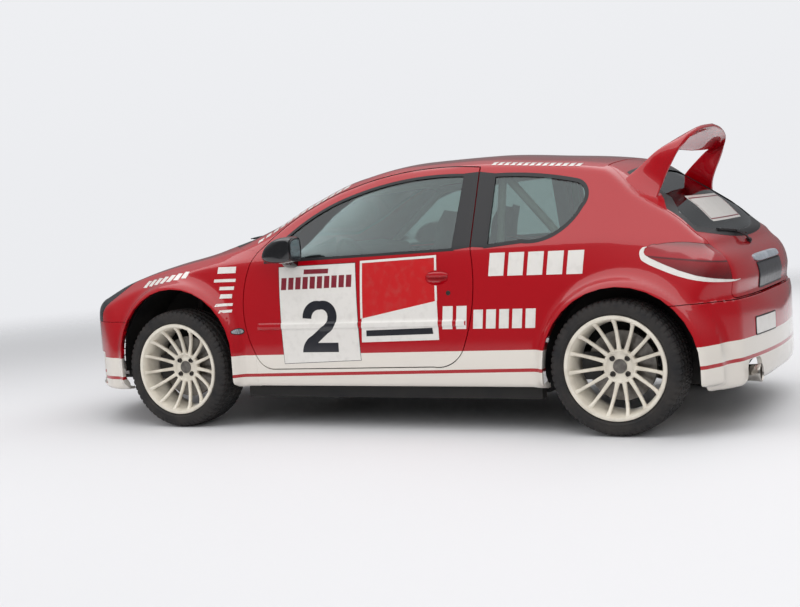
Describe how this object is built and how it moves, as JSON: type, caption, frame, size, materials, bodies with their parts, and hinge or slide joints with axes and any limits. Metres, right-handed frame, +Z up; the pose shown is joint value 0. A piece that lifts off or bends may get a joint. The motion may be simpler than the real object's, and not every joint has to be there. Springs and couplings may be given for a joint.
{
  "type": "rally car",
  "caption": "Three-door hatchback rally car with flared arches, roof wing, roll cage, opening doors, bonnet and tailgate, and steered front wheels",
  "frame": {"origin": "on the ground, under the middle of the car's bounding box", "axes": "+Y towards the tail, +X towards the left side of the car, +Z up; the nose points to -Y"},
  "size_m": [1.9406, 4.005, 1.4462],
  "materials": {
    "body": "glossy crimson paint",
    "glass": "clear, slightly tinted",
    "lamp_clear": "clear lens over a bright bowl",
    "lamp_red": "red lens",
    "trim": "grained black",
    "mirror_shell": "black",
    "tyre": "worn rubber",
    "wheel": "satin off-white paint",
    "iron": "machined faces, dull edges",
    "underbody": "dark sealed steel",
    "engine": "cast",
    "exhaust": "heat stained",
    "cage": "cream paint",
    "seat": "black cloth over a shell",
    "wheel_rim_cover": "suede"
  },
  "bodies": {
    "chassis": {"floor_pan": "underbody", "inner_wings": "underbody", "body_side_left": "body", "body_side_right": "body", "roof_panel": "body", "front_fenders": "body", "front_bumper": "body", "front_grille": "trim", "headlamps": "lamp_clear", "rear_bumper": "body", "windscreen": "glass", "quarter_windows": "glass", "tail_lamps": "lamp_red", "cowl_panel": "body", "roll_cage": "cage", "cage_front": "cage", "door_bars": "cage", "seats": "seat", "dashboard": "trim", "engine_block": "engine", "exhaust": "exhaust", "front_subframe": "underbody", "rear_axle": "underbody", "rear_wheelhouses": "underbody", "wishbones": "underbody", "radiator": "engine"},
    "bonnet_lid": {"bonnet": "body"},
    "tailgate_lid": {"tailgate": "body", "rear_window": "glass", "rear_wing": "body"},
    "left_door": {"door_left": "body", "door_glass_left": "glass", "mirror_left": "mirror_shell"},
    "right_door": {"door_right": "body", "door_glass_right": "glass", "mirror_right": "mirror_shell"},
    "steering": {"steering_wheel": "wheel_rim_cover"},
    "left_knuckle": {"knuckle_left": "iron"},
    "right_knuckle": {"knuckle_right": "iron"},
    "front_left_wheel": {"wheel_front_left": "wheel", "tyre_front_left": "tyre", "brake_disc_front_left": "iron"},
    "front_right_wheel": {"wheel_front_right": "wheel", "tyre_front_right": "tyre", "brake_disc_front_right": "iron"},
    "rear_left_wheel": {"wheel_rear_left": "wheel", "tyre_rear_left": "tyre", "brake_disc_rear_left": "iron"},
    "rear_right_wheel": {"wheel_rear_right": "wheel", "tyre_rear_right": "tyre", "brake_disc_rear_right": "iron"}
  },
  "joints": [
    {"name": "bonnet_hinge", "type": "hinge", "parent": "chassis", "child": "bonnet_lid", "pos_m": [0, -0.9075, 0.957], "axis": [-1, 0, 0], "range_deg": [0, 55]},
    {"name": "tailgate_hinge", "type": "hinge", "parent": "chassis", "child": "tailgate_lid", "pos_m": [0, 1.3205, 1.284], "axis": [1, 0, 0], "range_deg": [0, 70]},
    {"name": "left_door_hinge", "type": "hinge", "parent": "chassis", "child": "left_door", "pos_m": [0.842, -0.6215, 0.65], "axis": [0, 0, -1], "range_deg": [0, 65]},
    {"name": "right_door_hinge", "type": "hinge", "parent": "chassis", "child": "right_door", "pos_m": [-0.842, -0.6215, 0.65], "axis": [0, 0, 1], "range_deg": [0, 65]},
    {"name": "steering_turn", "type": "hinge", "parent": "chassis", "child": "steering", "pos_m": [0.37, -0.1725, 0.8], "axis": [0, 0.9272, 0.3746], "range_deg": [-450, 450]},
    {"name": "steer_left", "type": "hinge", "parent": "chassis", "child": "left_knuckle", "pos_m": [0.69, -1.0575, 0.215], "axis": [-0.2169, 0, 0.9762], "range_deg": [-30, 30]},
    {"name": "steer_right", "type": "hinge", "parent": "chassis", "child": "right_knuckle", "pos_m": [-0.69, -1.0575, 0.215], "axis": [0.2169, 0, 0.9762], "range_deg": [-30, 30]},
    {"name": "front_left_spin", "type": "hinge", "parent": "left_knuckle", "child": "front_left_wheel", "pos_m": [0.7625, -1.0575, 0.32], "axis": [1, 0, 0], "continuous": true},
    {"name": "front_right_spin", "type": "hinge", "parent": "right_knuckle", "child": "front_right_wheel", "pos_m": [-0.7625, -1.0575, 0.32], "axis": [1, 0, 0], "continuous": true},
    {"name": "rear_left_spin", "type": "hinge", "parent": "chassis", "child": "rear_left_wheel", "pos_m": [0.7625, 1.4105, 0.32], "axis": [1, 0, 0], "continuous": true},
    {"name": "rear_right_spin", "type": "hinge", "parent": "chassis", "child": "rear_right_wheel", "pos_m": [-0.7625, 1.4105, 0.32], "axis": [1, 0, 0], "continuous": true}
  ],
  "couplings": [
    {"joint": "steer_left", "follows": "steering_turn", "ratio": 0.0666},
    {"joint": "steer_right", "follows": "steering_turn", "ratio": 0.0666}
  ]
}
